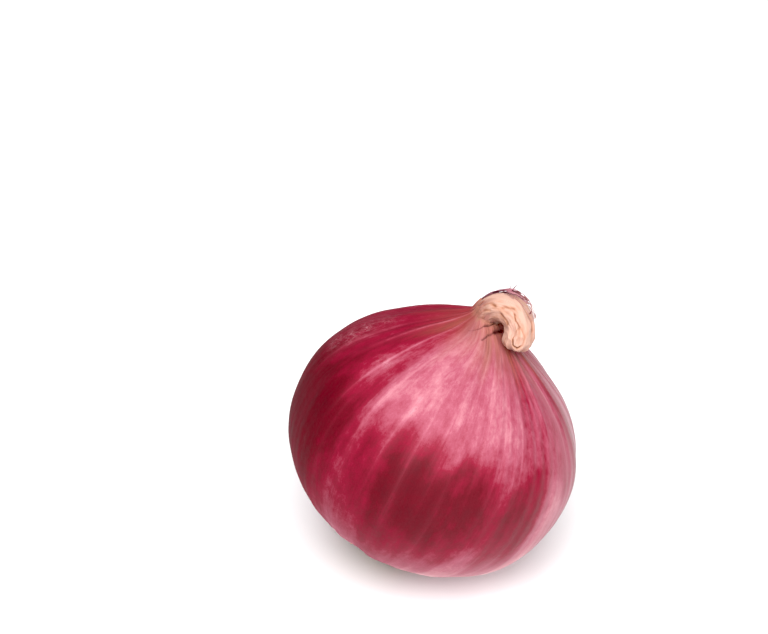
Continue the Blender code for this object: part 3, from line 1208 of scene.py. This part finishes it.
@dataclass
class TornSkin:
    """Torn film that still clings to the outer side of the neck: a lacy sheet with holes, and a few wisps."""

    form: OnionForm
    columns: int = 150
    rows: int = 110
    span: tuple[float, float] = (math.radians(48.0), math.radians(200.0))
    start: float = -1.5 * MM
    reach: float = 10.8 * MM
    radius: float = 4.0 * MM
    thickness: float = 0.07 * MM
    wisps: int = 10
    wisp_steps: int = 7

    def build(self) -> list[Piece]:
        """Builds and dresses the film.

        Returns:
            The objects of the sheet and of the wisps.
        """
        film = TornPaper().make()
        return [dress(piece, film) for piece in (self.build_sheet(), self.build_wisps())]

    def lift(self, azimuth: Array, along: Array) -> Array:
        """Height of the film over the neck: it comes out from under the skin at its base, and stands off beyond.

        Args:
            azimuth: Angle round the neck.
            along: Distance past the start of the bend.

        Returns:
            Height in metres.
        """
        wave = WaveNoise(61, (6, 16), 6.0 * MM).at(azimuth, along)
        out = smoothstep(-0.6 * MM, 2.6 * MM, along + 0.5 * MM * wave)
        stand = smoothstep(0.5 * MM, 6.0 * MM, along) * (1.0 - 0.6 * smoothstep(8.0 * MM, 11.0 * MM, along))
        far = 1.0 - smoothstep(math.radians(160.0), math.radians(196.0), azimuth)
        return (0.40 * out - 0.18) * MM + stand * (0.72 + 0.30 * wave) * (0.15 + 0.85 * far) * MM

    def build_sheet(self) -> Piece:
        """Builds the sheet, worn through to a web of strands towards its edges.

        A face is kept near the zero lines of a noise, nearer and nearer to them as it is closer to an edge.

        Returns:
            The sheet's object.
        """
        form = self.form
        columns, rows = np.linspace(*self.span, self.columns), np.linspace(self.start, self.reach, self.rows)
        azimuth, along = np.meshgrid(columns, rows)
        points = form.skin(form.bend_start + along, azimuth)
        out = unit(np.cross(np.gradient(points, axis=1), np.gradient(points, axis=0)))
        points = points + self.lift(azimuth, along)[..., None] * out
        share = (azimuth[1:, 1:] - self.span[0]) / (self.span[1] - self.span[0])
        worn = bell(np.minimum(share, 1.0 - share), 0.07)
        worn = worn + smoothstep(0.5 * MM, 0.95 * self.reach, along[1:, 1:])
        web = np.abs(WaveNoise(62, (6, 24), 3.2 * MM).at(azimuth[1:, 1:], along[1:, 1:]))
        keep = web < 1.75 - 1.5 * np.clip(worn, 0.0, 1.0)
        grain = polar(self.radius / MM, azimuth, along / MM)
        values = {"grain": grain, "edge": smoothstep(0.0, self.reach, along)}
        sheet = Sheet("torn_skin", points, keep, values).build(form)
        thicken = sheet.modifiers.new("paper_thickness", "SOLIDIFY")
        thicken.thickness = self.thickness
        thicken.offset = 0.0
        return sheet

    def build_wisps(self) -> Piece:
        """Builds the wisps: short curled fibres that stand up from the torn film.

        Returns:
            The wisps' object.
        """
        form = self.form
        random = np.random.default_rng(63)
        rest = self.wisps - 2
        azimuth = np.radians(np.concatenate([[160.0, 162.0], random.uniform(90.0, 185.0, rest)]))
        along = np.concatenate([[5.9, 5.7], random.uniform(2.0, 10.0, rest)]) * MM
        size = np.concatenate([[2.4, 1.7], random.uniform(0.8, 1.7, rest)])[:, None, None] * MM
        lean = np.concatenate([[0.10, -0.30], random.uniform(-0.8, 1.0, rest)])[:, None]
        base = form.skin(form.bend_start + along, azimuth)
        centre, direction = form.spine(form.bend_start + along)
        out = unit(base - centre)
        heading = unit(out + lean * direction)[:, None]
        step = np.linspace(0.0, 1.0, self.wisp_steps)[None, :, None]
        paths = base[:, None] + size * step * heading + 0.1 * MM * out[:, None]
        paths = paths + 0.22 * size * step**2 * direction[:, None]
        radii = np.linspace(0.20, 0.05, self.wisp_steps)[None, :] * MM * np.ones((self.wisps, 1))
        return Bundle("skin_wisps", paths, radii, 6, 64).build(form)


# ---------------- the root crust


@dataclass
class RootCrust:
    """The root plate with its dried crust: a crumbly low disc, dense broken stubs, and a few longer root hairs."""

    form: OnionForm
    radius: float = 9.2 * MM
    height: float = 1.5 * MM
    plate_columns: int = 200
    plate_rows: int = 60
    turned_in_rows: int = 8
    stubs: int = 210
    stub_taper: tuple[float, ...] = (1.0, 1.0, 0.95, 0.8, 0.45)
    hairs: int = 16
    hair_steps: int = 14

    def build(self) -> list[Piece]:
        """Builds and dresses the crust.

        Returns:
            The objects of the plate, of the stubs and of the hairs.
        """
        root = DryRoot().make()
        pieces = (self.build_plate(), self.build_stubs(), self.build_hairs())
        return [dress(piece, root) for piece in pieces]

    def under(self, radius: Array) -> Array:
        """Height of the bulb's own underside at a radius from its axis."""
        power = self.form.root_fullness
        return -self.form.root_depth * (1.0 - (radius / self.form.bulb_radius) ** power) ** (1.0 / power)

    def build_plate(self) -> Piece:
        """Builds the plate, a dome (1 - (r / R)^4)^0.6 that turns back in under the skin at its rim.

        Returns:
            The plate's object.
        """
        azimuth = ring_angles(self.plate_columns)[None, :]
        outer, inner = np.linspace(0.3, 9.9, self.plate_rows), np.linspace(9.7, 0.5, self.turned_in_rows)
        radius = np.concatenate([outer, inner])[:, None] * MM
        outside = (np.arange(radius.size) < self.plate_rows)[:, None]
        share = np.clip(radius / self.radius, 0.0, 1.0)
        dome = 0.5 * self.height * (1.0 - share**4) ** 0.6
        rim = 1.0 + 0.05 * WaveNoise(71, (5, 30), 1.0).at(azimuth, 0.0 * radius) * smoothstep(0.5, 1.0, share)
        crumbs = 0.22 * MM * WaveNoise(72, (2, 34), 2.2 * MM).at(azimuth, radius) * (1.0 - share**6)
        height = self.under(radius) + np.where(outside, 0.1 * MM - dome - crumbs, 0.9 * MM)
        # Painted shade: the plate is darker in the hollows between its crumbs and paler on the raised ones; it is
        # also paler at its rim.
        reach = np.clip(0.35 + crumbs / (1.2 * MM), 0.0, 0.7) + 0.25 * smoothstep(0.75, 1.0, share)
        values = {"shade": np.full(reach.shape, 0.1), "reach": reach}
        return Shell("root_plate", polar(radius * rim, azimuth, height), values).build(self.form)

    def build_stubs(self) -> Piece:
        """Builds the stubs, spread over the disc on a sunflower spiral, each bent and broken at its own length.

        Returns:
            The stubs' object.
        """
        random = np.random.default_rng(73)
        number = np.arange(self.stubs)
        radius = 0.86 * self.radius * np.sqrt((number + 0.5) / self.stubs)
        turn = number * math.pi * (3.0 - math.sqrt(5.0)) + random.normal(0.0, 0.12, self.stubs)
        base = polar(radius, turn, self.under(radius) - 0.1 * MM)
        heading = polar(0.35 * radius / self.radius, turn, -1.0)
        heading = unit(heading + random.normal(0.0, 0.26, (self.stubs, 3)))
        bend = random.normal(0.0, 0.35, (self.stubs, 3)) * MM
        size = random.uniform(1.2, 2.3, self.stubs) * MM * (1.0 - 0.5 * (radius / self.radius) ** 2)
        step = np.linspace(0.0, 1.0, len(self.stub_taper))[None, :, None]
        paths = base[:, None] + step * (size[:, None] * heading)[:, None] + step**2 * bend[:, None]
        radii = random.uniform(0.28, 0.50, (self.stubs, 1)) * MM * np.array(self.stub_taper)
        return Bundle("root_stubs", paths, radii, 7, 74).build(self.form)

    def build_hairs(self) -> Piece:
        """Builds the longer root hairs, which lie over the crust and out onto the skin beside it.

        Returns:
            The hairs' object.
        """
        random = np.random.default_rng(75)
        each = (self.hairs, 1)
        step = np.linspace(0.0, 1.0, self.hair_steps)[None, :]
        start = random.uniform(4.5, 7.6, each) * MM
        radius = start + random.uniform(1.2, 2.8, each) * MM * step
        turn = random.uniform(0.0, FULL_TURN, each) + random.uniform(-0.7, 0.7, each) * step**1.5
        turn = turn + 0.05 * np.sin(9.0 * step + random.uniform(0.0, 6.0, each))
        rise = 1.3 * MM * (1.0 - smoothstep(8.0 * MM, 11.0 * MM, radius)) + 0.22 * MM
        rise = rise + 0.5 * MM * np.sin(math.pi * step) * random.uniform(0.2, 1.2, each)
        paths = polar(radius, turn, self.under(radius) - rise)
        radii = random.uniform(0.10, 0.20, each) * MM * np.linspace(1.0, 0.35, self.hair_steps)[None, :]
        return Bundle("root_hairs", paths, radii, 6, 76).build(self.form)


# ---------------- floor, light and camera


@dataclass(frozen=True)
class Softbox:
    """A soft rectangular light: where it stands round the onion, in degrees, its width and height, and its watts."""

    name: str
    azimuth: float
    elevation: float
    size: tuple[float, float]
    power: float
    distance: float = 1.2


@dataclass(frozen=True)
class Studio:
    """A plain pale floor, a very large soft light in front, smaller ones at the left and on top, and the camera.

    Angles are degrees. The lights and the camera stand round the onion's middle.
    """

    form: OnionForm
    view_azimuth: float = -22.4
    view_elevation: float = 38.0
    distance: float = 413.5 * MM
    heading: float = -20.43
    pitch: float = 34.14
    lens: float = 85.0
    floor_side: float = 6.0
    surround: str = "C8C8CC"
    surround_strength: float = 0.40
    black_level: float = 0.024
    lights: tuple[Softbox, ...] = (
        Softbox("front_softbox", -10.0, 55.0, (1.6, 1.32), 33.5),
        Softbox("side_softbox", -52.0, 60.0, (0.55, 0.55), 5.0),
        Softbox("top_softbox", 165.0, 66.0, (1.0, 0.8), 4.0),
    )

    @staticmethod
    def away(azimuth: float, elevation: float) -> Vector:
        """Unit vector from the onion towards an azimuth and elevation, in degrees."""
        turn, rise = math.radians(azimuth), math.radians(elevation)
        return Vector((math.sin(turn) * math.cos(rise), -math.cos(turn) * math.cos(rise), math.sin(rise)))

    def camera(self) -> None:
        """Makes the camera. It is turned a little off the onion, which sits low and right of the middle."""
        data = bpy.data.cameras.new("studio_camera")
        data.lens = self.lens
        camera = bpy.data.objects.new("studio_camera", data)
        away = self.away(self.view_azimuth, self.view_elevation)
        camera.location = Vector(self.form.centre) + away * self.distance
        camera.rotation_euler = (math.radians(90.0 - self.pitch), 0.0, math.radians(self.heading))
        bpy.context.scene.collection.objects.link(camera)
        bpy.context.scene.camera = camera

    def light(self, box: Softbox) -> None:
        """Adds one light that faces the onion.

        Args:
            box: What it is and where it stands.
        """
        data = bpy.data.lights.new(box.name, "AREA")
        data.shape = "RECTANGLE"
        data.size, data.size_y = box.size
        data.energy = box.power
        lamp = bpy.data.objects.new(box.name, data)
        away = self.away(box.azimuth, box.elevation)
        lamp.location = Vector(self.form.centre) + away * box.distance
        lamp.rotation_mode = "QUATERNION"
        lamp.rotation_quaternion = (-away).to_track_quat("-Z", "Y")
        bpy.context.scene.collection.objects.link(lamp)

    def floor(self) -> None:
        """Makes the floor, a flat square."""
        mesh = bpy.data.meshes.new("studio_floor")
        half = self.floor_side / 2.0
        corners = [(-half, -half, 0.0), (half, -half, 0.0), (half, half, 0.0), (-half, half, 0.0)]
        mesh.from_pydata(corners, [], [(0, 1, 2, 3)])
        floor = bpy.data.objects.new("studio_floor", mesh)
        bpy.context.scene.collection.objects.link(floor)
        mesh.materials.append(MatteFloor().make())

    def grade(self) -> None:
        """Sets the picture's tone: plain display colours, with the black point raised a little as in a print."""
        settings = bpy.context.scene.view_settings
        settings.view_transform = "Standard"
        settings.use_curve_mapping = True
        settings.curve_mapping.black_level = (self.black_level,) * 3
        settings.curve_mapping.update()

    def build(self) -> None:
        """Sets up the whole studio."""
        self.camera()
        self.floor()
        for box in self.lights:
            self.light(box)
        world = bpy.data.worlds.new("studio_world")
        world.use_nodes = True
        tree = world.node_tree
        fill(tree, tree.nodes["Background"], {"Color": self.surround, "Strength": self.surround_strength})
        bpy.context.scene.world = world
        self.grade()


# ---------------- assembly


def main() -> None:
    """Builds the studio and the onion, and reports it piece by piece."""
    logging.basicConfig(level=logging.INFO, format="%(name)s: %(message)s")
    form = OnionForm()
    Studio(form).build()
    for assembly in (BulbSkin(form), DryNeck(form), TornSkin(form), RootCrust(form)):
        for piece in assembly.build():
            LOG.info("%s: %d faces", piece.name, len(piece.data.polygons))


if __name__ == "__main__":
    main()
